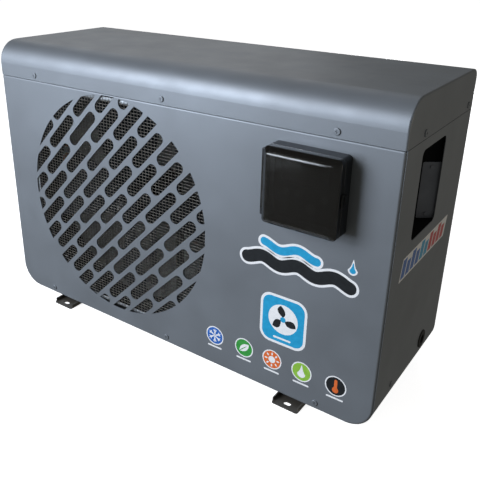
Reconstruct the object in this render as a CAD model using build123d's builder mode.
from build123d import *
import os

# Pool heat pump: a folded sheet-steel cabinet with a fan, an L-shaped evaporator, a compressor,
# a titanium exchanger and a hinged control box. Millimetres. X runs to the right seen from the
# front, Y to the back, Z up. The origin is the centre of the four foot slots, on the floor.

os.makedirs("parts", exist_ok=True)

# --- Driving dimensions --------------------------------------------------------------------
# Cabinet
HALF_W = 500
HALF_D = 180
BOTTOM_Z = 9
TOP_Z = 649
SHEET = 1.2
SHEET_GAP = 0.2
EDGE_R = 3.5
COVER_Z = 570
PANEL_TOP_Z = 569
COVER_FRONT_R = 50
COVER_REAR_R = 20
CORNER_R = 55
SIDE_WRAP = 60
FLANGE = 15

# Front and rear panels nest inside the side panels
NEST = SHEET + SHEET_GAP
FRONT_HALF_W = HALF_W - NEST
PANEL_Z = BOTTOM_Z + NEST
INNER_W = HALF_W - NEST
INNER_D = HALF_D - NEST

# Slotted air outlet
GRILLE_X = -149
GRILLE_Z = 307
GRILLE_R = 259
SLOT_LENGTH = 113
SLOT_WIDTH = 26
SLOT_STEP_LONG = 70
SLOT_STEP_SHORT = 18.5

# Screws
SCREW_HEAD_R = 6.5
SCREW_HEAD_H = 2.2
SCREW_R = 2.5
SCREW_LENGTH = 12
SCREW_HOLE_R = 2.8
COVER_SCREW_Z = 581
COVER_SCREW_X = (-380, 0, 380)
COVER_SCREW_Y = (-98, 150)
LOW_SCREW_X = (-382, 0, 382)
LOW_SCREW_Z = 25
REAR_SCREW_X = (200, 380)
REAR_X = (134, 438.5)
SIDE_SCREW_Y = -93
SIDE_SCREW_Z = 71

# Base
PAN_HALF_X = 447
PAN_Z = 11.8
PAN_LIP = 30
PAN_FLOOR_Z = PAN_Z + SHEET
RAIL_X = 327
RAIL_WIDTH = 60
RAIL_HALF_LENGTH = 205
RAIL_SHEET = 2.5
FOOT_SLOT_Y = 190
FOOT_SLOT_LENGTH = 16
FOOT_SLOT_WIDTH = 10

# Partition between the fan and the compressor
PARTITION_X = 131

# Recess in the right side, and the cable entry below it
RECESS_Y = (-97, 30)
RECESS_Z = (381, 550)
RECESS_R = 12
POCKET_X = 436
POCKET_WALL = 2.5
ENTRY_Y = 76
ENTRY_Z = 84
ENTRY_R = 10

# Control box
BOX_X = 338
BOX_Z = 474
BOX_W = 148
BOX_H = 145
BOX_R = 8
BOX_DEPTH = 23.7
BOX_WALL = 4.5
BOX_BACK = 2.5
LID_GAP = 0.3
LID_SIDE = 15
LID_BEVEL = 10
LID_INSET = 11
LID_WALL = 2.2
LID_FACE_R = 2
HINGE_X = 258
HINGE_Y = -207
HINGE_R = 4
PIN_R = 1.5
RUNNING = 0.06
HINGE_Z = (424.5, 523.5)
KNUCKLE = 12

# Controller
HOUSING_W = 126
HOUSING_H = 122
HOUSING_FACE_Y = -200
HOUSING_WALL = 2
BUTTON_GAP = 0.35
BUTTON_PROUD = 2
SMALL_BUTTON_R = 6.5
POWER_BUTTON_R = 10
POWER_BUTTON = (352, 440)
SMALL_BUTTONS = {"mode_button": (300, 463), "down_button": (326, 463), "up_button": (378, 463)}
DISPLAY = (338, 505)
DISPLAY_W = 92
DISPLAY_H = 46

# Fan
SHAFT_R = 5
FAN_R = 240
HUB_R = 48
SHROUD_R = 250
SHROUD_Y = -175
SHROUD_DEPTH = 70
MOTOR_R = 60
MOTOR_LENGTH = 84
HUB_Y = (-148, -94)
BLADE_Y = -122

# Evaporator
COIL_RIGHT_X = 100
COIL_Y = 149
COIL_LEFT_X = -427
COIL_FRONT_Y = -60
COIL_HALF = 11
COIL_BEND_R = 60
COIL_Z = (14, 545)
BEND_PITCH = 50
BEND_R = 12.5
TUBE_R = 4.75

# Refrigeration and water
COMPRESSOR = (220, 10)
COMPRESSOR_R = 75
ACCUMULATOR = (330, -60)
EXCHANGER = (370, 60)
EXCHANGER_R = 75
EXCHANGER_Z = (48, 440)
COIL_TUBE_R = 7
COIL_BOSS_R = 9
HELIX_R = 52
HELIX_Z = (110, 350)
INLET_Z = 110
OUTLET_Z = 390
PIPE_R = 25
PIPE_BORE_R = 21
SOCKET_R = 25.1
UNION_Y = 212
VALVE_Z = 430
EXPANSION = (422, -80)

# Electrical box
EBOX_X = (150, 425)
EBOX_Y = (-172, -92)
EBOX_Z = (380, 560)


def upright(y):
    """The upright plane at depth y, seen from the front: its axes are X and Z."""
    return Plane.XZ.offset(-y)


def block(low, high, mode=Mode.ADD):
    """A box between two corners."""
    size = tuple(high[i] - low[i] for i in range(3))
    centre = tuple((high[i] + low[i]) / 2 for i in range(3))
    with Locations(centre):
        Box(*size, mode=mode)


def disc(plane, place, radius, depth, mode=Mode.ADD):
    """A cylinder that stands on a plane at a place in it."""
    with BuildSketch(plane) as outline:
        with Locations(place):
            Circle(radius)
    extrude(outline.sketch, amount=depth, mode=mode)


def tube(points, radii, radius):
    """A pipe along straight runs with rounded corners."""
    with BuildLine() as route:
        FilletPolyline(*points, radius=radii)
    path = route.wire()
    with BuildSketch(Plane(path @ 0, z_dir=path % 0)) as section:
        Circle(radius)
    sweep(section.sketch, path=path)


# --- Top cover -----------------------------------------------------------------------------
# Folded sheet with a large bend at the front, a smaller one at the back and flat ends.
with BuildPart() as top_cover:
    with BuildSketch(Plane.YZ.offset(-HALF_W)) as cover_section:
        with Locations((0, (COVER_Z + TOP_Z) / 2)):
            Rectangle(2 * HALF_D, TOP_Z - COVER_Z)
        fillet(cover_section.vertices().group_by(Axis.Y)[-1].sort_by(Axis.X)[0], COVER_FRONT_R)
        fillet(cover_section.vertices().group_by(Axis.Y)[-1].sort_by(Axis.X)[-1], COVER_REAR_R)
    extrude(amount=2 * HALF_W)
    cover_ends = top_cover.faces().filter_by(Axis.X)
    fillet(cover_ends.edges().filter_by(lambda edge: edge.center().Z > COVER_Z + 1), EDGE_R)
    offset(amount=-SHEET, openings=top_cover.faces().sort_by(Axis.Z)[0])
    with BuildSketch(Plane.XZ):
        with Locations(*[(x, COVER_SCREW_Z) for x in COVER_SCREW_X]):
            Circle(SCREW_HOLE_R)
    extrude(amount=HALF_D + 1, both=True, mode=Mode.SUBTRACT)
    with BuildSketch(Plane.YZ):
        with Locations(*[(y, COVER_SCREW_Z) for y in COVER_SCREW_Y]):
            Circle(SCREW_HOLE_R)
    extrude(amount=HALF_W + 1, both=True, mode=Mode.SUBTRACT)
top_cover.part.label = "top_cover"
export_step(top_cover.part, "parts/top_cover.step")

# --- Top frame -----------------------------------------------------------------------------
# An angle-section ring that lies on the panels' top flanges and takes the cover's screws.
with BuildPart() as top_frame:
    block((-HALF_W + 1.5, -HALF_D + 1.5, PANEL_TOP_Z + 0.2), (HALF_W - 1.5, HALF_D - 1.5, 592))
    fillet(top_frame.edges().filter_by(Axis.Z), 3)
    block((-HALF_W + 3, -HALF_D + 3, PANEL_TOP_Z + 1.7), (HALF_W - 3, HALF_D - 3, 600), Mode.SUBTRACT)
    block((-HALF_W + 20, -HALF_D + 20, 560), (HALF_W - 20, HALF_D - 20, 580), Mode.SUBTRACT)
    with BuildSketch(Plane.XZ):
        with Locations(*[(x, COVER_SCREW_Z) for x in COVER_SCREW_X]):
            Circle(SCREW_HOLE_R)
    extrude(amount=HALF_D + 1, both=True, mode=Mode.SUBTRACT)
    with BuildSketch(Plane.YZ):
        with Locations(*[(y, COVER_SCREW_Z) for y in COVER_SCREW_Y]):
            Circle(SCREW_HOLE_R)
    extrude(amount=HALF_W + 1, both=True, mode=Mode.SUBTRACT)
top_frame.part.label = "top_frame"
export_step(top_frame.part, "parts/top_frame.step")

# --- Front panel ---------------------------------------------------------------------------
# A shallow pan with rounded lower corners and a round field of slanted slots. The rows of
# slots step half a pitch, and the circle cuts the outer slots off square.
slot_places = []
for i in range(-6, 7):
    for j in range(-6, 7):
        slot_x = GRILLE_X + i * SLOT_STEP_LONG + j * SLOT_STEP_SHORT
        slot_z = GRILLE_Z + i * SLOT_STEP_SHORT + j * SLOT_STEP_LONG
        slot_places.append((slot_x, slot_z))
with BuildPart() as front_panel:
    with BuildSketch(upright(-HALF_D)) as front_outline:
        with Locations((0, (PANEL_Z + PANEL_TOP_Z) / 2)):
            Rectangle(2 * FRONT_HALF_W, PANEL_TOP_Z - PANEL_Z)
        fillet(front_outline.vertices().group_by(Axis.Y)[0], CORNER_R - NEST)
        fillet(front_outline.vertices().group_by(Axis.Y)[-1], EDGE_R)
    extrude(amount=-FLANGE)
    fillet(front_panel.faces().sort_by(Axis.Y)[0].edges(), EDGE_R)
    offset(amount=-SHEET, openings=front_panel.faces().sort_by(Axis.Y)[-1])
    with BuildSketch(upright(-HALF_D)):
        with Locations(*slot_places):
            SlotOverall(SLOT_LENGTH, SLOT_WIDTH, rotation=45)
        with Locations((GRILLE_X, GRILLE_Z)):
            Circle(GRILLE_R, mode=Mode.INTERSECT)
    extrude(amount=-2 * SHEET, mode=Mode.SUBTRACT)
    with BuildSketch(upright(-HALF_D)):
        with Locations(*[(x, LOW_SCREW_Z) for x in LOW_SCREW_X]):
            Circle(SCREW_HOLE_R)
        with Locations((BOX_X, BOX_Z)):
            Circle(12)
    extrude(amount=-2 * SHEET, mode=Mode.SUBTRACT)
front_panel.part.label = "front_panel"
export_step(front_panel.part, "parts/front_panel.step")


# --- Side panels ---------------------------------------------------------------------------
def side_panel_blank(side):
    """One folded side: it wraps under the base at the bottom and round to the back."""
    with BuildPart() as blank:
        with BuildSketch(upright(-HALF_D + EDGE_R)) as outline:
            with Locations((side * (HALF_W - SIDE_WRAP / 2), (BOTTOM_Z + PANEL_TOP_Z) / 2)):
                Rectangle(SIDE_WRAP, PANEL_TOP_Z - BOTTOM_Z)
            outer = outline.vertices().sort_by(Axis.X)
            outer = outer[-2:] if side > 0 else outer[:2]
            fillet(outer.sort_by(Axis.Y)[0], CORNER_R)
        extrude(amount=-(2 * HALF_D - EDGE_R))
        rear = blank.faces().sort_by(Axis.Y)[-1]
        fillet(rear.edges().filter_by(lambda edge: abs(edge.center().X) > HALF_W - SIDE_WRAP + 1), EDGE_R)
        openings = [blank.faces().sort_by(Axis.Y)[0]]
        across = blank.faces().sort_by(Axis.X)
        openings.append(across[0] if side > 0 else across[-1])
        offset(amount=-SHEET, openings=openings)
        low_x, high_x = sorted((side * 400, side * (INNER_W + 0.1)))
        block((low_x, -HALF_D, 540), (high_x, -HALF_D + FLANGE + 0.5, 580), Mode.SUBTRACT)
        with BuildSketch(Plane.YZ):
            with Locations((SIDE_SCREW_Y, SIDE_SCREW_Z)):
                Circle(SCREW_HOLE_R)
        extrude(amount=side * (HALF_W + 1), mode=Mode.SUBTRACT)
    return blank.part


with BuildPart() as right_side_panel:
    add(side_panel_blank(1))
    with BuildSketch(Plane.YZ.offset(HALF_W - 10)):
        with Locations((sum(RECESS_Y) / 2, sum(RECESS_Z) / 2)):
            RectangleRounded(RECESS_Y[1] - RECESS_Y[0], RECESS_Z[1] - RECESS_Z[0], RECESS_R)
        with Locations((ENTRY_Y, ENTRY_Z)):
            Circle(16.3)
    extrude(amount=20, mode=Mode.SUBTRACT)
    # The sheet is kept as ten abutting solids, cut through the recess and above and below its
    # rounded corners, so that each stays simple.
    for cut_z in (RECESS_Z[0], RECESS_Z[0] + RECESS_R, RECESS_Z[1] - RECESS_R, RECESS_Z[1]):
        split(bisect_by=Plane.XY.offset(cut_z), keep=Keep.BOTH)
    split(bisect_by=Plane.XZ.offset(-sum(RECESS_Y) / 2), keep=Keep.BOTH)
right_side_panel.part.label = "right_side_panel"
export_step(right_side_panel.part, "parts/right_side_panel.step")

# The left side has three columns of short air slots beside the evaporator.
with BuildPart() as left_side_panel:
    add(side_panel_blank(-1))
    with BuildSketch(Plane.YZ.offset(-HALF_W - 10)):
        with Locations((60, 300)):
            with GridLocations(72, 24, 3, 19):
                SlotOverall(58, 9)
    extrude(amount=20, mode=Mode.SUBTRACT)
left_side_panel.part.label = "left_side_panel"
export_step(left_side_panel.part, "parts/left_side_panel.step")

# --- Rear panel ----------------------------------------------------------------------------
# A pan behind the compressor, with a hole round each water pipe.
with BuildPart() as rear_panel:
    with BuildSketch(upright(HALF_D)):
        with Locations((sum(REAR_X) / 2, (PANEL_Z + PANEL_TOP_Z) / 2)):
            RectangleRounded(REAR_X[1] - REAR_X[0], PANEL_TOP_Z - PANEL_Z, EDGE_R)
    extrude(amount=FLANGE)
    fillet(rear_panel.faces().sort_by(Axis.Y)[-1].edges(), EDGE_R - 0.5)
    offset(amount=-SHEET, openings=rear_panel.faces().sort_by(Axis.Y)[0])
    notch_low = (REAR_X[0] - 4, HALF_D - FLANGE - 5, PANEL_Z + SHEET)
    notch_high = (REAR_X[1] + 4, HALF_D - SHEET, PAN_Z + PAN_LIP + 2)
    block(notch_low, notch_high, Mode.SUBTRACT)
    with BuildSketch(upright(HALF_D)):
        with Locations((EXCHANGER[0], INLET_Z), (EXCHANGER[0], OUTLET_Z)):
            Circle(PIPE_R + 4)
        with Locations(*[(x, LOW_SCREW_Z) for x in REAR_SCREW_X]):
            Circle(SCREW_HOLE_R)
    extrude(amount=2 * SHEET, mode=Mode.SUBTRACT)
rear_panel.part.label = "rear_panel"
export_step(rear_panel.part, "parts/rear_panel.step")

# --- Rear wire guard -----------------------------------------------------------------------
# Upright wires welded to cross wires, over the evaporator's back.
GUARD_X = (-436, 128)
GUARD_Z = (16, 564)
GUARD_Y = 174
GUARD_WIRE_R = 1.5
GUARD_UPRIGHTS = 24
GUARD_CROSS = 6
with BuildPart() as coil_guard:
    guard_step = (GUARD_X[1] - GUARD_X[0]) / (GUARD_UPRIGHTS - 1)
    with BuildSketch(Plane.XY.offset(GUARD_Z[0])):
        with Locations(*[(GUARD_X[0] + i * guard_step, GUARD_Y) for i in range(GUARD_UPRIGHTS)]):
            Circle(GUARD_WIRE_R)
    extrude(amount=GUARD_Z[1] - GUARD_Z[0])
    cross_step = (GUARD_Z[1] - GUARD_Z[0] - 10) / (GUARD_CROSS - 1)
    for i in range(GUARD_CROSS):
        low_z = GUARD_Z[0] + 5 + i * cross_step - GUARD_WIRE_R
        block(
            (GUARD_X[0] - 2, GUARD_Y, low_z),
            (GUARD_X[1] + 1, GUARD_Y + 2 * GUARD_WIRE_R, low_z + 2 * GUARD_WIRE_R),
        )
coil_guard.part.label = "coil_guard"
export_step(coil_guard.part, "parts/coil_guard.step")

# --- Base pan ------------------------------------------------------------------------------
# A tray with an ear at each end that reaches out to the side panel's lower screw.
with BuildPart() as base_pan:
    block((-PAN_HALF_X, -INNER_D, PAN_Z), (PAN_HALF_X, INNER_D, PAN_Z + PAN_LIP))
    fillet(base_pan.edges().filter_by(Axis.Z), 4)
    fillet(base_pan.faces().sort_by(Axis.Z)[0].edges(), 3)
    offset(amount=-SHEET, openings=base_pan.faces().sort_by(Axis.Z)[-1])
    for side in (-1, 1):
        inner_x, outer_x = side * (PAN_HALF_X - SHEET), side * INNER_W
        lip_x, flange_x = side * PAN_HALF_X, side * (INNER_W - SHEET)
        ear_y = (SIDE_SCREW_Y - 20, SIDE_SCREW_Y + 20)
        low_x, high_x = sorted((inner_x, lip_x))
        block((low_x, ear_y[0], PAN_Z + 20), (high_x, ear_y[1], 85))
        low_x, high_x = sorted((inner_x, outer_x))
        block((low_x, ear_y[0], 85 - SHEET), (high_x, ear_y[1], 85))
        low_x, high_x = sorted((flange_x, outer_x))
        block((low_x, ear_y[0], 64.5), (high_x, ear_y[1], 85))
    with BuildSketch(Plane.YZ):
        with Locations((SIDE_SCREW_Y, SIDE_SCREW_Z)):
            Circle(SCREW_HOLE_R)
    extrude(amount=HALF_W, both=True, mode=Mode.SUBTRACT)
    with BuildSketch(Plane.XZ):
        with Locations(*[(x, LOW_SCREW_Z) for x in LOW_SCREW_X]):
            Circle(SCREW_HOLE_R)
    extrude(amount=HALF_D, mode=Mode.SUBTRACT)
    with BuildSketch(Plane.XZ):
        with Locations(*[(x, LOW_SCREW_Z) for x in REAR_SCREW_X]):
            Circle(SCREW_HOLE_R)
    extrude(amount=-HALF_D, mode=Mode.SUBTRACT)
base_pan.part.label = "base_pan"
export_step(base_pan.part, "parts/base_pan.step")

# --- Foot rails ----------------------------------------------------------------------------
# Shallow channels across the base, each with a slotted foot at both ends.
for rail_name, rail_x in (("foot_rail_left", -RAIL_X), ("foot_rail_right", RAIL_X)):
    with BuildPart() as foot_rail:
        with BuildSketch():
            with Locations((rail_x, 0)):
                RectangleRounded(RAIL_WIDTH, 2 * RAIL_HALF_LENGTH, 5)
            with Locations((rail_x, -FOOT_SLOT_Y), (rail_x, FOOT_SLOT_Y)):
                SlotOverall(FOOT_SLOT_LENGTH, FOOT_SLOT_WIDTH, mode=Mode.SUBTRACT)
        extrude(amount=RAIL_SHEET)
        for edge_x in (rail_x - RAIL_WIDTH / 2, rail_x + RAIL_WIDTH / 2 - RAIL_SHEET):
            block(
                (edge_x, -RAIL_HALF_LENGTH + 6, 0),
                (edge_x + RAIL_SHEET, RAIL_HALF_LENGTH - 6, PANEL_Z - 0.2),
            )
            block((edge_x, -HALF_D + 17, 5), (edge_x + RAIL_SHEET, HALF_D - 17, PAN_Z - 0.2))
    foot_rail.part.label = rail_name
    export_step(foot_rail.part, f"parts/{rail_name}.step")

# --- Partition -----------------------------------------------------------------------------
with BuildPart() as partition_panel:
    block((PARTITION_X, -176, PAN_FLOOR_Z + 0.2), (PARTITION_X + SHEET, 176, 566))
    block((PARTITION_X, -150, PAN_FLOOR_Z + 0.2), (PARTITION_X + 12, 150, PAN_FLOOR_Z + 0.2 + SHEET))
    with BuildSketch(Plane.YZ.offset(PARTITION_X - 1)):
        with Locations((COIL_Y, 365)):
            Circle(6)
        with Locations((COIL_Y, 525)):
            Circle(8)
    extrude(amount=SHEET + 2, mode=Mode.SUBTRACT)
partition_panel.part.label = "partition_panel"
export_step(partition_panel.part, "parts/partition_panel.step")

# --- Casing screws -------------------------------------------------------------------------
# Painted pan-head screws with a cross recess, heads outside, shanks in the panels' holes.
with BuildPart() as screw:
    Cylinder(SCREW_HEAD_R, SCREW_HEAD_H, align=(Align.CENTER, Align.CENTER, Align.MIN))
    fillet(screw.faces().sort_by(Axis.Z)[-1].edges(), 1.5)
    Cylinder(SCREW_R, SCREW_LENGTH, align=(Align.CENTER, Align.CENTER, Align.MAX))
    with Locations((0, 0, SCREW_HEAD_H)):
        Box(6, 1.2, 3, mode=Mode.SUBTRACT)
        Box(1.2, 6, 3, mode=Mode.SUBTRACT)

screw_planes = [Plane((x, -HALF_D, COVER_SCREW_Z), z_dir=(0, -1, 0)) for x in COVER_SCREW_X]
screw_planes += [Plane((x, HALF_D, COVER_SCREW_Z), z_dir=(0, 1, 0)) for x in COVER_SCREW_X]
screw_planes += [Plane((x, -HALF_D, LOW_SCREW_Z), z_dir=(0, -1, 0)) for x in LOW_SCREW_X]
screw_planes += [Plane((x, HALF_D, LOW_SCREW_Z), z_dir=(0, 1, 0)) for x in REAR_SCREW_X]
for side in (-1, 1):
    screw_planes += [Plane((side * HALF_W, y, COVER_SCREW_Z), z_dir=(side, 0, 0)) for y in COVER_SCREW_Y]
    screw_planes.append(Plane((side * HALF_W, SIDE_SCREW_Y, SIDE_SCREW_Z), z_dir=(side, 0, 0)))
with BuildPart() as casing_screws:
    with Locations(*[plane.location for plane in screw_planes]):
        add(screw.part)
casing_screws.part.label = "casing_screws"
export_step(casing_screws.part, "parts/casing_screws.step")

# --- Grille mesh ---------------------------------------------------------------------------
# Fine crossed wires on a thin frame, between the front panel and the fan's shroud.
MESH_W = 526
MESH_H = 508
MESH_PITCH_X = 9
MESH_PITCH_Z = 7
MESH_WIRE_R = 0.45
MESH_Z = 308
with BuildPart() as grille_mesh:
    columns = int(MESH_W / MESH_PITCH_X) - 1
    rows = int(MESH_H / MESH_PITCH_Z) - 1
    with BuildSketch(Plane.XY.offset(MESH_Z - MESH_H / 2)):
        with Locations((GRILLE_X, -176.95)):
            with GridLocations(MESH_PITCH_X, 1, columns, 1):
                Circle(MESH_WIRE_R)
    extrude(amount=MESH_H)
    with BuildSketch(Plane.YZ.offset(GRILLE_X - MESH_W / 2)):
        with Locations((-178, MESH_Z)):
            with GridLocations(1, MESH_PITCH_Z, 1, rows):
                Circle(MESH_WIRE_R)
    extrude(amount=MESH_W)
    with BuildSketch(upright(-175.2)):
        with Locations((GRILLE_X, MESH_Z)):
            Rectangle(MESH_W, MESH_H)
            Rectangle(MESH_W - 16, MESH_H - 16, mode=Mode.SUBTRACT)
    extrude(amount=1.1)
grille_mesh.part.label = "grille_mesh"
export_step(grille_mesh.part, "parts/grille_mesh.step")

# --- Fan shroud ----------------------------------------------------------------------------
# A plate with a short round duct that the blades turn in.
with BuildPart() as fan_shroud:
    with BuildSketch(upright(SHROUD_Y)):
        with Locations((GRILLE_X, MESH_Z)):
            Rectangle(MESH_W - 2, MESH_H - 2)
        with Locations((GRILLE_X, GRILLE_Z)):
            Circle(SHROUD_R, mode=Mode.SUBTRACT)
    extrude(amount=-1.5)
    with BuildSketch(upright(SHROUD_Y)):
        with Locations((GRILLE_X, GRILLE_Z)):
            Circle(SHROUD_R + 2.5)
            Circle(SHROUD_R, mode=Mode.SUBTRACT)
    extrude(amount=-SHROUD_DEPTH)
fan_shroud.part.label = "fan_shroud"
export_step(fan_shroud.part, "parts/fan_shroud.step")

# --- Fan motor and its bracket -------------------------------------------------------------
fan_centre = (GRILLE_X, GRILLE_Z)
with BuildPart() as fan_motor:
    disc(upright(0), fan_centre, MOTOR_R, MOTOR_LENGTH)
    fillet(fan_motor.edges().filter_by(GeomType.CIRCLE), 8)
    disc(upright(-80), fan_centre, 20, 11)
    disc(upright(-15), fan_centre, SHAFT_R + RUNNING, 90, Mode.SUBTRACT)
    with BuildSketch(upright(-20)):
        with Locations(fan_centre):
            with PolarLocations(MOTOR_R + 1, 16):
                Rectangle(4, 3)
    extrude(amount=44, mode=Mode.SUBTRACT)
fan_motor.part.label = "fan_motor"
export_step(fan_motor.part, "parts/fan_motor.step")

with BuildPart() as fan_motor_bracket:
    for rail_x in (GRILLE_X - 57, GRILLE_X + 32):
        block((rail_x, 0, PAN_FLOOR_Z + 0.2), (rail_x + 25, 2.5, 560))
        block((rail_x, 0, PAN_FLOOR_Z + 0.2), (rail_x + 25, 30, PAN_FLOOR_Z + 2.7))
        block((rail_x, 0, 557.5), (rail_x + 25, 30, 560))
    block((GRILLE_X - 57, 0, GRILLE_Z - 50), (GRILLE_X + 57, 2.5, GRILLE_Z + 50))
fan_motor_bracket.part.label = "fan_motor_bracket"
export_step(fan_motor_bracket.part, "parts/fan_motor_bracket.step")

# --- Fan wheel -----------------------------------------------------------------------------
with BuildPart() as fan_shaft:
    disc(upright(-20), fan_centre, SHAFT_R, 146)
    chamfer(fan_shaft.faces().sort_by(Axis.Y)[0].edges(), 1)
fan_shaft.part.label = "fan_shaft"
export_step(fan_shaft.part, "parts/fan_shaft.step")

BLADE_COUNT = 4
BLADE_STATIONS = ((30, 70, 40), (140, 130, 28), (262, 190, 20))
with BuildPart() as one_blade:
    for radius, chord, pitch in BLADE_STATIONS:
        with BuildSketch(Plane.XY.offset(radius)):
            SlotOverall(chord, 3.2, rotation=pitch)
    loft()
blade_shape = one_blade.part
with BuildPart() as fan_blade:
    disc(upright(HUB_Y[1]), fan_centre, HUB_R, HUB_Y[1] - HUB_Y[0])
    fillet(fan_blade.faces().sort_by(Axis.Y)[0].edges(), 8)
    for i in range(BLADE_COUNT):
        turned = blade_shape.rotate(Axis.Y, i * 360 / BLADE_COUNT)
        add(turned.moved(Location((GRILLE_X, BLADE_Y, GRILLE_Z))))
    with BuildSketch(upright(-60)):
        with Locations(fan_centre):
            Circle(FAN_R)
    extrude(amount=120, mode=Mode.INTERSECT)
    disc(upright(-50), fan_centre, SHAFT_R + 0.02, 120, Mode.SUBTRACT)
fan_blade.part.label = "fan_blade"
export_step(fan_blade.part, "parts/fan_blade.step")

with BuildPart() as fan_nut:
    with BuildSketch(upright(HUB_Y[0])):
        with Locations(fan_centre):
            RegularPolygon(9.5, 6)
            Circle(SHAFT_R + 0.02, mode=Mode.SUBTRACT)
    extrude(amount=8)
fan_nut.part.label = "fan_nut"
export_step(fan_nut.part, "parts/fan_nut.step")

# --- Evaporator ----------------------------------------------------------------------------
# The finned block runs across the back and turns forward along the left side.
coil_outer = ((COIL_RIGHT_X, COIL_Y + COIL_HALF), (COIL_LEFT_X - COIL_HALF, COIL_Y + COIL_HALF))
coil_outer += ((COIL_LEFT_X - COIL_HALF, COIL_FRONT_Y),)
coil_inner = ((COIL_RIGHT_X, COIL_Y - COIL_HALF), (COIL_LEFT_X + COIL_HALF, COIL_Y - COIL_HALF))
coil_inner += ((COIL_LEFT_X + COIL_HALF, COIL_FRONT_Y),)
with BuildPart() as evaporator_coil:
    with BuildSketch(Plane.XY.offset(COIL_Z[0])):
        with BuildLine():
            outer_line = FilletPolyline(*coil_outer, radius=COIL_BEND_R + COIL_HALF)
            inner_line = FilletPolyline(*coil_inner, radius=COIL_BEND_R - COIL_HALF)
            Line(outer_line @ 0, inner_line @ 0)
            Line(outer_line @ 1, inner_line @ 1)
        make_face()
    extrude(amount=COIL_Z[1] - COIL_Z[0])
evaporator_coil.part.label = "evaporator_coil"
export_step(evaporator_coil.part, "parts/evaporator_coil.step")

# End plates stand at both ends of the block and the tube ends pass into return bends.
coil_ends = (
    ((COIL_RIGHT_X, COIL_Y - 15, COIL_Z[0]), (COIL_RIGHT_X + 1.5, COIL_Y + 15, COIL_Z[1] + 4)),
    ((COIL_LEFT_X - 15, COIL_FRONT_Y - 1.5, COIL_Z[0]), (COIL_LEFT_X + 15, COIL_FRONT_Y, COIL_Z[1] + 4)),
)
with BuildPart() as coil_end_plates:
    for low, high in coil_ends:
        block(low, high)
coil_end_plates.part.label = "coil_end_plates"
export_step(coil_end_plates.part, "parts/coil_end_plates.step")

bend_heights = range(40, 500, BEND_PITCH)
with BuildPart() as coil_return_bends:
    for z in bend_heights:
        with BuildSketch(Plane.YZ.offset(COIL_RIGHT_X + 1.5)):
            with Locations((COIL_Y, z + BEND_R)):
                Circle(TUBE_R)
        revolve(axis=Axis((COIL_RIGHT_X + 1.5, COIL_Y, z), (0, 1, 0)), revolution_arc=180)
        with BuildSketch(upright(COIL_FRONT_Y - 1.5)):
            with Locations((COIL_LEFT_X, z + BEND_R)):
                Circle(TUBE_R)
        revolve(axis=Axis((COIL_LEFT_X, COIL_FRONT_Y - 1.5, z), (1, 0, 0)), revolution_arc=180)
coil_return_bends.part.label = "coil_return_bends"
export_step(coil_return_bends.part, "parts/coil_return_bends.step")

# --- Compressor ----------------------------------------------------------------------------
FOOT_PLATE_Z = 36
FOOT_REACH = 92
FOOT_EAR_R = 22
FOOT_ANGLE = -12
with BuildPart() as compressor:
    with BuildSketch(Plane.XY.offset(FOOT_PLATE_Z)) as foot_outline:
        with Locations(COMPRESSOR):
            RegularPolygon(FOOT_REACH + 2 * FOOT_EAR_R, 3, rotation=FOOT_ANGLE)
        fillet(foot_outline.vertices(), FOOT_EAR_R)
    extrude(amount=4)
    disc(Plane.XY.offset(FOOT_PLATE_Z), COMPRESSOR, COMPRESSOR_R, 294)
    fillet(compressor.faces().sort_by(Axis.Z)[-1].edges(), 34)
    disc(Plane.XY.offset(325), COMPRESSOR, 6, 20)
    disc(Plane.XY.offset(318), (COMPRESSOR[0] + 34, COMPRESSOR[1]), 16, 22)
    with BuildSketch(Plane.XY.offset(FOOT_PLATE_Z)):
        with Locations(COMPRESSOR):
            with PolarLocations(FOOT_REACH, 3, start_angle=FOOT_ANGLE):
                Circle(5)
    extrude(amount=4, mode=Mode.SUBTRACT)
compressor.part.label = "compressor"
export_step(compressor.part, "parts/compressor.step")

with BuildPart() as compressor_grommets:
    with BuildSketch(Plane.XY.offset(PAN_FLOOR_Z)):
        with Locations(COMPRESSOR):
            with PolarLocations(FOOT_REACH, 3, start_angle=FOOT_ANGLE):
                Circle(13)
                Circle(5, mode=Mode.SUBTRACT)
    extrude(amount=FOOT_PLATE_Z - PAN_FLOOR_Z)
    fillet(compressor_grommets.edges().filter_by(GeomType.CIRCLE).filter_by(lambda edge: edge.radius > 10), 3)
compressor_grommets.part.label = "compressor_grommets"
export_step(compressor_grommets.part, "parts/compressor_grommets.step")

with BuildPart() as compressor_nuts:
    with BuildSketch(Plane.XY.offset(PAN_FLOOR_Z)):
        with Locations(COMPRESSOR):
            with PolarLocations(FOOT_REACH, 3, start_angle=FOOT_ANGLE):
                Circle(4)
    extrude(amount=38)
    with BuildSketch(Plane.XY.offset(FOOT_PLATE_Z + 4)):
        with Locations(COMPRESSOR):
            with PolarLocations(FOOT_REACH, 3, start_angle=FOOT_ANGLE):
                RegularPolygon(7.5, 6)
    extrude(amount=6.5)
compressor_nuts.part.label = "compressor_nuts"
export_step(compressor_nuts.part, "parts/compressor_nuts.step")

# The accumulator stands beside the compressor; its outlet tube runs back to the shell.
with BuildPart() as suction_accumulator:
    disc(Plane.XY.offset(75), ACCUMULATOR, 38, 175)
    fillet(suction_accumulator.edges().filter_by(GeomType.CIRCLE), 16)
    disc(Plane.XY.offset(245), ACCUMULATOR, 8, 15)
    towards = Vector(COMPRESSOR[0] - ACCUMULATOR[0], COMPRESSOR[1] - ACCUMULATOR[1], 0).normalized()
    reach = 130.4 - COMPRESSOR_R - 1
    start = Vector(*ACCUMULATOR, 84)
    corner = Vector(*ACCUMULATOR, 66)
    tube((start, corner, corner + towards * reach), 14, 7)
suction_accumulator.part.label = "suction_accumulator"
export_step(suction_accumulator.part, "parts/suction_accumulator.step")

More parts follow.
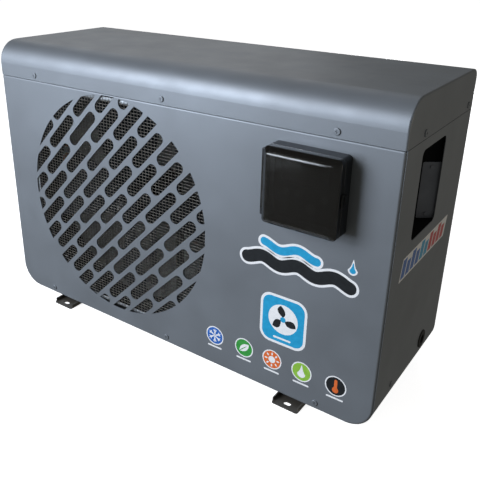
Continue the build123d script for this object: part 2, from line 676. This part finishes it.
# --- Exchanger -----------------------------------------------------------------------------
# A plastic shell with a titanium coil inside and two sockets for the water pipes.
with BuildPart() as heat_exchanger_shell:
    disc(Plane.XY.offset(EXCHANGER_Z[0]), EXCHANGER, EXCHANGER_R, EXCHANGER_Z[1] - EXCHANGER_Z[0])
    fillet(heat_exchanger_shell.edges().filter_by(GeomType.CIRCLE), 12)
    with BuildSketch(Plane.XY.offset(EXCHANGER_Z[1] - 40)):
        with Locations(EXCHANGER):
            Circle(EXCHANGER_R + 6)
    extrude(amount=20)
    for z in (INLET_Z, OUTLET_Z):
        disc(upright(EXCHANGER[1] + 20), (EXCHANGER[0], z), 31, -62)
    disc(Plane.XY.offset(EXCHANGER_Z[0] + 6), EXCHANGER, EXCHANGER_R - 6, 380, Mode.SUBTRACT)
    for z in (INLET_Z, OUTLET_Z):
        disc(upright(EXCHANGER[1]), (EXCHANGER[0], z), SOCKET_R, -90, Mode.SUBTRACT)
    disc(Plane.XY.offset(30), (EXCHANGER[0] + HELIX_R, EXCHANGER[1]), COIL_TUBE_R + 0.1, 450, Mode.SUBTRACT)
heat_exchanger_shell.part.label = "heat_exchanger_shell"
export_step(heat_exchanger_shell.part, "parts/heat_exchanger_shell.step")

with BuildPart() as titanium_coil:
    with BuildLine():
        helix_height = HELIX_Z[1] - HELIX_Z[0]
        turns = Helix(24, helix_height, HELIX_R, center=(*EXCHANGER, HELIX_Z[0]))
    with BuildSketch(Plane(turns @ 0, z_dir=turns % 0)):
        Circle(COIL_TUBE_R)
    sweep(path=turns)
    leg_x = EXCHANGER[0] + HELIX_R
    for z in HELIX_Z:
        with Locations((leg_x, EXCHANGER[1], z)):
            Sphere(COIL_BOSS_R)
    disc(Plane.XY.offset(40), (leg_x, EXCHANGER[1]), COIL_TUBE_R, HELIX_Z[0] - 40)
    disc(Plane.XY.offset(HELIX_Z[1]), (leg_x, EXCHANGER[1]), COIL_TUBE_R, 455 - HELIX_Z[1])
titanium_coil.part.label = "titanium_coil"
export_step(titanium_coil.part, "parts/titanium_coil.step")

# --- Water pipes and unions ----------------------------------------------------------------
SWITCH_Y = 158
PADDLE_PIVOT_Z = INLET_Z + 23
for pipe_name, z in (("water_inlet_pipe", INLET_Z), ("water_outlet_pipe", OUTLET_Z)):
    with BuildPart() as water_pipe:
        disc(upright(131), (EXCHANGER[0], z), PIPE_R, 131 - UNION_Y)
        disc(upright(192), (EXCHANGER[0], z), 31, 192 - UNION_Y)
        disc(upright(120), (EXCHANGER[0], z), PIPE_BORE_R, -100, Mode.SUBTRACT)
        with BuildSketch(upright(UNION_Y)):
            with Locations((EXCHANGER[0], z)):
                Circle(28)
                Circle(25, mode=Mode.SUBTRACT)
        extrude(amount=2.4, mode=Mode.SUBTRACT)
        if z == INLET_Z:
            disc(Plane.XY.offset(z), (EXCHANGER[0], SWITCH_Y), 6, 40, Mode.SUBTRACT)
    water_pipe.part.label = pipe_name
    export_step(water_pipe.part, f"parts/{pipe_name}.step")

with BuildPart() as union_o_rings:
    for z in (INLET_Z, OUTLET_Z):
        with BuildSketch(Plane.XY.offset(z)):
            with Locations((EXCHANGER[0] + 26.5, UNION_Y - 1.2)):
                Circle(1.2)
        revolve(axis=Axis((EXCHANGER[0], 0, z), (0, 1, 0)))
union_o_rings.part.label = "union_o_rings"
export_step(union_o_rings.part, "parts/union_o_rings.step")

UNION_END_Y = 262
with BuildPart() as union_tails:
    for z in (INLET_Z, OUTLET_Z):
        disc(upright(UNION_Y + 0.2), (EXCHANGER[0], z), 31.5, -6)
        disc(upright(UNION_Y + 0.2), (EXCHANGER[0], z), 29.4, UNION_Y + 0.2 - UNION_END_Y)
        disc(upright(UNION_Y), (EXCHANGER[0], z), PIPE_BORE_R, -80, Mode.SUBTRACT)
        disc(upright(UNION_END_Y - 40), (EXCHANGER[0], z), SOCKET_R, -60, Mode.SUBTRACT)
union_tails.part.label = "union_tails"
export_step(union_tails.part, "parts/union_tails.step")

for nut_name, z in (("inlet_union_nut", INLET_Z), ("outlet_union_nut", OUTLET_Z)):
    with BuildPart() as union_nut:
        with BuildSketch(upright(196)):
            with Locations((EXCHANGER[0], z)):
                Circle(42)
                with PolarLocations(45, 12):
                    Circle(6, mode=Mode.SUBTRACT)
        extrude(amount=-30)
        chamfer(union_nut.faces().sort_by(Axis.Y)[-1].edges(), 1.5)
        disc(upright(190), (EXCHANGER[0], z), 32, 190 - UNION_Y - 6.7, Mode.SUBTRACT)
        disc(upright(190), (EXCHANGER[0], z), 30, -50, Mode.SUBTRACT)
    union_nut.part.label = nut_name
    export_step(union_nut.part, f"parts/{nut_name}.step")

# --- Flow switch ---------------------------------------------------------------------------
# A small housing on the inlet pipe; its paddle hangs in the water and tips with the flow.
with BuildPart() as flow_switch:
    disc(Plane.XY.offset(INLET_Z + 16), (EXCHANGER[0], SWITCH_Y), 14, 46)
    disc(upright(120), (EXCHANGER[0], INLET_Z), PIPE_R + 0.05, -90, Mode.SUBTRACT)
    disc(Plane.XY.offset(INLET_Z), (EXCHANGER[0], SWITCH_Y), 10, 57, Mode.SUBTRACT)
    fillet(flow_switch.faces().sort_by(Axis.Z)[-1].edges(), 3)
flow_switch.part.label = "flow_switch"
export_step(flow_switch.part, "parts/flow_switch.step")

with BuildPart() as flow_paddle:
    block(
        (EXCHANGER[0] - 11, SWITCH_Y - 0.5, INLET_Z - 14),
        (EXCHANGER[0] + 11, SWITCH_Y + 0.5, INLET_Z + 10),
    )
    disc(Plane.XY.offset(INLET_Z - 4), (EXCHANGER[0], SWITCH_Y), 1.5, 46)
    with BuildSketch(Plane.YZ.offset(EXCHANGER[0] - 4)):
        with Locations((SWITCH_Y, PADDLE_PIVOT_Z)):
            Circle(2.5)
    extrude(amount=8)
flow_paddle.part.label = "flow_paddle"
export_step(flow_paddle.part, "parts/flow_paddle.step")

# --- Four-way valve and expansion valve ----------------------------------------------------
VALVE_PORT_STEP = 28
valve_x, valve_y = COMPRESSOR
with BuildPart() as four_way_valve:
    with BuildSketch(Plane.YZ.offset(valve_x - 60)):
        with Locations((valve_y, VALVE_Z)):
            Circle(16)
    extrude(amount=120)
    fillet(four_way_valve.edges().filter_by(GeomType.CIRCLE), 4)
    disc(Plane.XY.offset(400), (valve_x, valve_y), 6, 20)
    for port_x in (valve_x - VALVE_PORT_STEP, valve_x, valve_x + VALVE_PORT_STEP):
        disc(Plane.XY.offset(VALVE_Z + 10), (port_x, valve_y), 6, 20)
four_way_valve.part.label = "four_way_valve"
export_step(four_way_valve.part, "parts/four_way_valve.step")

with BuildPart() as valve_solenoid:
    block((valve_x - 20, valve_y + 16.2, VALVE_Z - 17), (valve_x + 20, valve_y + 52, VALVE_Z + 17))
    fillet(valve_solenoid.edges().filter_by(Axis.Y), 5)
    with BuildSketch(Plane.XZ.offset(-valve_y - 52)):
        with Locations((valve_x, VALVE_Z)):
            Circle(8)
    extrude(amount=-4)
valve_solenoid.part.label = "valve_solenoid"
export_step(valve_solenoid.part, "parts/valve_solenoid.step")

with BuildPart() as expansion_valve:
    disc(Plane.XY.offset(200), EXPANSION, 5, 60)
    disc(Plane.XY.offset(206), EXPANSION, 13, 24)
    disc(Plane.XY.offset(230), EXPANSION, 20, 22)
    fillet(expansion_valve.edges().filter_by(GeomType.CIRCLE).filter_by(lambda edge: edge.radius > 19), 2)
expansion_valve.part.label = "expansion_valve"
export_step(expansion_valve.part, "parts/expansion_valve.step")

# --- Copper lines --------------------------------------------------------------------------
LINE_R = 6
LINE_BEND = 18
SMALL_LINE_R = 4
ex, ey = EXPANSION
ax, ay = ACCUMULATOR
leg_x, leg_y = EXCHANGER[0] + HELIX_R, EXCHANGER[1]
port_z = VALVE_Z + 30
coil_x = COIL_RIGHT_X + 1.5
left_x, right_x = valve_x - VALVE_PORT_STEP, valve_x + VALVE_PORT_STEP
coil_in = ((left_x, valve_y, port_z), (left_x, valve_y, 525), (left_x, COIL_Y, 525), (coil_x, COIL_Y, 525))
suction = (
    (valve_x, valve_y, port_z),
    (valve_x, valve_y, 486),
    (valve_x, ay, 486),
    (ax, ay, 486),
    (ax, ay, 260),
)
hot_high = ((right_x, valve_y, port_z), (right_x, valve_y, 512), (right_x, leg_y, 512))
hot_low = ((leg_x, leg_y, 512), (leg_x, leg_y, 455))
liquid = ((leg_x, leg_y, 40), (leg_x, leg_y, 24), (leg_x, ey, 24), (leg_x, ey, 200))
coil_out = ((ex, ey, 260), (ex, ey, 365), (160, ey, 365), (160, COIL_Y, 365), (coil_x, COIL_Y, 365))
with BuildPart() as refrigerant_lines:
    disc(Plane.XY.offset(345), COMPRESSOR, LINE_R, 55)
    tube(coil_in, LINE_BEND, LINE_R)
    tube(suction, LINE_BEND, LINE_R)
    tube(hot_high + hot_low, LINE_BEND, LINE_R)
    tube(liquid, 12, SMALL_LINE_R)
    tube(coil_out, 14, SMALL_LINE_R)
refrigerant_lines.part.label = "refrigerant_lines"
export_step(refrigerant_lines.part, "parts/refrigerant_lines.step")

# --- Electrical box ------------------------------------------------------------------------
with BuildPart() as electrical_box:
    block((EBOX_X[0], EBOX_Y[0], EBOX_Z[0]), (EBOX_X[1], EBOX_Y[1], EBOX_Z[1]))
    offset(amount=-SHEET, openings=electrical_box.faces().sort_by(Axis.Y)[0])
electrical_box.part.label = "electrical_box"
export_step(electrical_box.part, "parts/electrical_box.step")

ebox_back = EBOX_Y[1] - SHEET
with BuildPart() as control_board:
    block((160, ebox_back - 9.6, 400), (340, ebox_back - 8, 525))
    for x in (166, 334):
        for z in (406, 519):
            disc(upright(ebox_back), (x, z), 3, 8)
    for x in (180, 202, 224, 246):
        block((x, ebox_back - 26, 410), (x + 17, ebox_back - 9.6, 438))
    block((270, ebox_back - 42, 408), (318, ebox_back - 9.6, 448))
    for x in (180, 206, 232):
        disc(upright(ebox_back - 9.6), (x, 480), 9, 24)
    block((250, ebox_back - 14, 470), (325, ebox_back - 9.6, 512))
control_board.part.label = "control_board"
export_step(control_board.part, "parts/control_board.step")

with BuildPart() as contactor:
    block((360, ebox_back - 58, 395), (408, ebox_back, 470))
    fillet(contactor.edges().filter_by(Axis.Y), 3)
    block((375.6, ebox_back - 60, 419.6), (392.4, ebox_back - 38, 446.4), Mode.SUBTRACT)
contactor.part.label = "contactor"
export_step(contactor.part, "parts/contactor.step")

with BuildPart() as contactor_plunger:
    block((376, ebox_back - 61, 420), (392, ebox_back - 44, 446))
    fillet(contactor_plunger.faces().sort_by(Axis.Y)[0].edges(), 1)
contactor_plunger.part.label = "contactor_plunger"
export_step(contactor_plunger.part, "parts/contactor_plunger.step")

with BuildPart() as run_capacitor:
    disc(Plane.XY.offset(478), (384, ebox_back - 24), 22, 74)
    fillet(run_capacitor.edges().filter_by(GeomType.CIRCLE), 2)
run_capacitor.part.label = "run_capacitor"
export_step(run_capacitor.part, "parts/run_capacitor.step")

# --- Recess in the right side --------------------------------------------------------------
# A moulded pocket behind the opening. Its back wall slants, and a grey plate covers the
# wiring terminals on the outer part of that wall.
SLANT_START = (468, 16)
SLANT = (30, 23)
mouth_x = HALF_W - SHEET
slant_rate = SLANT[1] / SLANT[0]
slant_mouth = (mouth_x, SLANT_START[1] + (mouth_x - SLANT_START[0]) * slant_rate)
slant_deep = (POCKET_X, SLANT_START[1] + (POCKET_X - SLANT_START[0]) * slant_rate)
pocket_corners = ((mouth_x, RECESS_Y[0]), slant_mouth, slant_deep, (POCKET_X, RECESS_Y[0]))
with BuildPart() as grip_pocket:
    with BuildSketch(Plane.XY.offset(RECESS_Z[0] - POCKET_WALL)):
        with BuildLine():
            Polyline(*pocket_corners, close=True)
        make_face()
        offset(amount=POCKET_WALL, kind=Kind.INTERSECTION)
    extrude(amount=RECESS_Z[1] - RECESS_Z[0] + 2 * POCKET_WALL)
    rim_low = (mouth_x - 1.6, RECESS_Y[0] - 10, RECESS_Z[0] - 10)
    rim_high = (mouth_x + 5, slant_mouth[1] + 12, RECESS_Z[1] + 10)
    block(rim_low, rim_high)
    block((mouth_x, -200, 300), (mouth_x + 30, 200, 640), Mode.SUBTRACT)
    with BuildSketch(Plane.XY.offset(RECESS_Z[0])):
        with BuildLine():
            Polyline(*pocket_corners, close=True)
        make_face()
    extrude(amount=RECESS_Z[1] - RECESS_Z[0], mode=Mode.SUBTRACT)
grip_pocket.part.label = "grip_pocket"
export_step(grip_pocket.part, "parts/grip_pocket.step")

COVER_PLATE_W = 36
COVER_PLATE_H = 113
slant_plane = Plane(
    origin=(*SLANT_START, RECESS_Z[0]), x_dir=(SLANT[0], SLANT[1], 0), z_dir=(SLANT[1], -SLANT[0], 0)
)
with BuildPart() as terminal_cover:
    with BuildSketch(slant_plane):
        with Locations((COVER_PLATE_W / 2, COVER_PLATE_H / 2 + 0.5)):
            RectangleRounded(COVER_PLATE_W, COVER_PLATE_H, 3)
    extrude(amount=2.5)
    with BuildSketch(slant_plane.offset(2.5)):
        with Locations((COVER_PLATE_W / 2, 10), (COVER_PLATE_W / 2, COVER_PLATE_H - 9)):
            Circle(3.5)
    extrude(amount=1.6)
terminal_cover.part.label = "terminal_cover"
export_step(terminal_cover.part, "parts/terminal_cover.step")

# --- Cable grommet -------------------------------------------------------------------------
with BuildPart() as cable_grommet:
    disc(Plane.YZ.offset(HALF_W), (ENTRY_Y, ENTRY_Z), 20, 2.2)
    fillet(cable_grommet.faces().sort_by(Axis.X)[-1].edges(), 1.2)
    disc(Plane.YZ.offset(HALF_W - SHEET - 0.1), (ENTRY_Y, ENTRY_Z), 16, SHEET + 0.1)
    disc(Plane.YZ.offset(HALF_W - SHEET - 5), (ENTRY_Y, ENTRY_Z), 19, 4.9)
    disc(Plane.YZ.offset(HALF_W - 20), (ENTRY_Y, ENTRY_Z), ENTRY_R, 30, Mode.SUBTRACT)
cable_grommet.part.label = "cable_grommet"
export_step(cable_grommet.part, "parts/cable_grommet.step")

# --- Control box: base, pin, seal ----------------------------------------------------------
box_centre = (BOX_X, BOX_Z)
base_front_y = -HALF_D - BOX_DEPTH
lid_back_y = base_front_y - LID_GAP
box_left_x = BOX_X - BOX_W / 2
box_right_x = BOX_X + BOX_W / 2
knuckle_bottoms = (HINGE_Z[0] - LID_GAP - KNUCKLE, HINGE_Z[1] + LID_GAP)
with BuildPart() as control_box_base:
    with BuildSketch(upright(-HALF_D)):
        with Locations(box_centre):
            RectangleRounded(BOX_W, BOX_H, BOX_R)
    extrude(amount=BOX_DEPTH)
    with BuildSketch(upright(-HALF_D - BOX_BACK)):
        with Locations(box_centre):
            RectangleRounded(BOX_W - 2 * BOX_WALL, BOX_H - 2 * BOX_WALL, BOX_R - BOX_WALL)
    extrude(amount=BOX_DEPTH, mode=Mode.SUBTRACT)
    disc(upright(-HALF_D), box_centre, 11, 10, Mode.SUBTRACT)
    for z in knuckle_bottoms:
        disc(Plane.XY.offset(z), (HINGE_X, HINGE_Y), HINGE_R, KNUCKLE)
        block((HINGE_X - HINGE_R, HINGE_Y, z), (HINGE_X + HINGE_R, HINGE_Y + 12, z + KNUCKLE))
        block((HINGE_X, HINGE_Y + 3.7, z), (box_left_x + 1, HINGE_Y + 12, z + KNUCKLE))
        disc(Plane.XY.offset(z - 1), (HINGE_X, HINGE_Y), PIN_R + 0.02, KNUCKLE + 2, Mode.SUBTRACT)
control_box_base.part.label = "control_box_base"
export_step(control_box_base.part, "parts/control_box_base.step")

with BuildPart() as hinge_pin:
    pin_length = knuckle_bottoms[1] + KNUCKLE - knuckle_bottoms[0]
    disc(Plane.XY.offset(knuckle_bottoms[0]), (HINGE_X, HINGE_Y), PIN_R, pin_length)
hinge_pin.part.label = "hinge_pin"
export_step(hinge_pin.part, "parts/hinge_pin.step")

with BuildPart() as lid_seal:
    with BuildSketch(upright(base_front_y)):
        with Locations(box_centre):
            RectangleRounded(BOX_W - 6, BOX_H - 6, BOX_R - 3)
            RectangleRounded(BOX_W - 9, BOX_H - 9, BOX_R - 4.5, mode=Mode.SUBTRACT)
    extrude(amount=2.5)
lid_seal.part.label = "lid_seal"
export_step(lid_seal.part, "parts/lid_seal.step")

# --- Control box lid -----------------------------------------------------------------------
# A moulded smoked cover: straight sides, a bevel all round and a flat face. Its barrel turns
# on the hinge pin, and a finger tab on the other side snaps over the base.
bevel_start = lid_back_y - LID_SIDE
lid_face_y = bevel_start - LID_BEVEL
inner_bevel_y = bevel_start + 0.9
inner_inset = LID_INSET + 1.3
with BuildPart() as control_lid:
    with BuildSketch(upright(lid_back_y)):
        with Locations(box_centre):
            RectangleRounded(BOX_W, BOX_H, BOX_R)
    extrude(amount=LID_SIDE)
    with BuildSketch(upright(bevel_start)):
        with Locations(box_centre):
            RectangleRounded(BOX_W, BOX_H, BOX_R)
    with BuildSketch(upright(lid_face_y)):
        with Locations(box_centre):
            RectangleRounded(BOX_W - 2 * LID_INSET, BOX_H - 2 * LID_INSET, LID_FACE_R)
    loft()
    with BuildSketch(upright(lid_back_y)):
        with Locations(box_centre):
            RectangleRounded(BOX_W - 2 * LID_WALL, BOX_H - 2 * LID_WALL, BOX_R - LID_WALL)
    extrude(amount=lid_back_y - inner_bevel_y, mode=Mode.SUBTRACT)
    with BuildSketch(upright(inner_bevel_y)):
        with Locations(box_centre):
            RectangleRounded(BOX_W - 2 * LID_WALL, BOX_H - 2 * LID_WALL, BOX_R - LID_WALL)
    with BuildSketch(upright(lid_face_y + LID_WALL)):
        with Locations(box_centre):
            RectangleRounded(BOX_W - 2 * inner_inset, BOX_H - 2 * inner_inset, LID_FACE_R / 2)
    loft(mode=Mode.SUBTRACT)
    barrel_length = HINGE_Z[1] - HINGE_Z[0]
    disc(Plane.XY.offset(HINGE_Z[0]), (HINGE_X, HINGE_Y), HINGE_R, barrel_length)
    block((HINGE_X, HINGE_Y - HINGE_R, HINGE_Z[0]), (box_left_x + 1, HINGE_Y + 1, HINGE_Z[1]))
    pin_plane = Plane.XY.offset(HINGE_Z[0] - 1)
    disc(pin_plane, (HINGE_X, HINGE_Y), PIN_R + RUNNING, barrel_length + 2, Mode.SUBTRACT)
    block((box_right_x - 1, lid_back_y - 10, BOX_Z - 12), (box_right_x + 2.6, lid_back_y, BOX_Z + 12))
    block((box_right_x + 0.5, lid_back_y - 4, BOX_Z - 9), (box_right_x + 2.6, lid_back_y + 7, BOX_Z + 9))
    # The moulding is kept as abutting solids: cut where the bevel starts, and across its sides
    # and its face where the rounded corners end, so that each stays simple.
    split(bisect_by=Plane.XZ.offset(-inner_bevel_y), keep=Keep.BOTH)
    for side in (-1, 1):
        split(bisect_by=Plane.YZ.offset(BOX_X + side * (BOX_W / 2 - BOX_R)), keep=Keep.BOTH)
        split(bisect_by=Plane.XY.offset(BOX_Z + side * (BOX_H / 2 - BOX_R)), keep=Keep.BOTH)
control_lid.part.label = "control_lid"
export_step(control_lid.part, "parts/control_lid.step")

# --- Controller ----------------------------------------------------------------------------
button_places = dict(SMALL_BUTTONS)
button_places["power_button"] = POWER_BUTTON
button_radii = {name: SMALL_BUTTON_R for name in SMALL_BUTTONS}
button_radii["power_button"] = POWER_BUTTON_R
housing_back_y = -HALF_D - BOX_BACK
with BuildPart() as controller_housing:
    with BuildSketch(upright(housing_back_y)):
        with Locations(box_centre):
            RectangleRounded(HOUSING_W, HOUSING_H, 6)
    extrude(amount=housing_back_y - HOUSING_FACE_Y)
    fillet(controller_housing.faces().sort_by(Axis.Y)[0].edges(), 1.2)
    offset(amount=-HOUSING_WALL, openings=controller_housing.faces().sort_by(Axis.Y)[-1])
    block((BOX_X - 62, -194.8, BOX_Z - 60), (BOX_X + 62, -193.3, BOX_Z - 2))
    for name, place in button_places.items():
        disc(upright(HOUSING_FACE_Y + 3), place, button_radii[name] + BUTTON_GAP, 6, Mode.SUBTRACT)
    with BuildSketch(upright(HOUSING_FACE_Y + 3)):
        with Locations(DISPLAY):
            Rectangle(DISPLAY_W - 6, DISPLAY_H - 6)
    extrude(amount=6, mode=Mode.SUBTRACT)
controller_housing.part.label = "controller_housing"
export_step(controller_housing.part, "parts/controller_housing.step")

with BuildPart() as display_window:
    with BuildSketch(upright(HOUSING_FACE_Y)):
        with Locations(DISPLAY):
            RectangleRounded(DISPLAY_W, DISPLAY_H, 2)
    extrude(amount=1.2)
display_window.part.label = "display_window"
export_step(display_window.part, "parts/display_window.step")

for name, place in button_places.items():
    with BuildPart() as button:
        wall_back_y = HOUSING_FACE_Y + HOUSING_WALL
        disc(upright(wall_back_y + 0.3), place, button_radii[name], HOUSING_WALL + 0.3 + BUTTON_PROUD)
        fillet(button.faces().sort_by(Axis.Y)[0].edges(), 0.7)
        disc(upright(wall_back_y + 1.5), place, button_radii[name] + 1.5, 1.2)
    button.part.label = name
    export_step(button.part, f"parts/{name}.step")

# --- Stickers ------------------------------------------------------------------------------
# Thin printed film: a name plate, a badge, five round pictures and a strip on the side.
LABEL_T = 0.3
ICON_X = (137, 212, 280, 348, 422)
with BuildPart() as labels:
    with BuildSketch(upright(-HALF_D)):
        with Locations((322.5, 319)):
            RectangleRounded(255, 84, 12)
        with Locations((300, 182.5)):
            RectangleRounded(104, 111, 24)
        with Locations(*[(x, 81) for x in ICON_X]):
            Circle(25)
    extrude(amount=LABEL_T)
    with BuildSketch(Plane.YZ.offset(HALF_W)):
        with Locations((-2.5, 335.5)):
            RectangleRounded(265, 47, 10)
    extrude(amount=LABEL_T)
labels.part.label = "labels"
export_step(labels.part, "parts/labels.step")
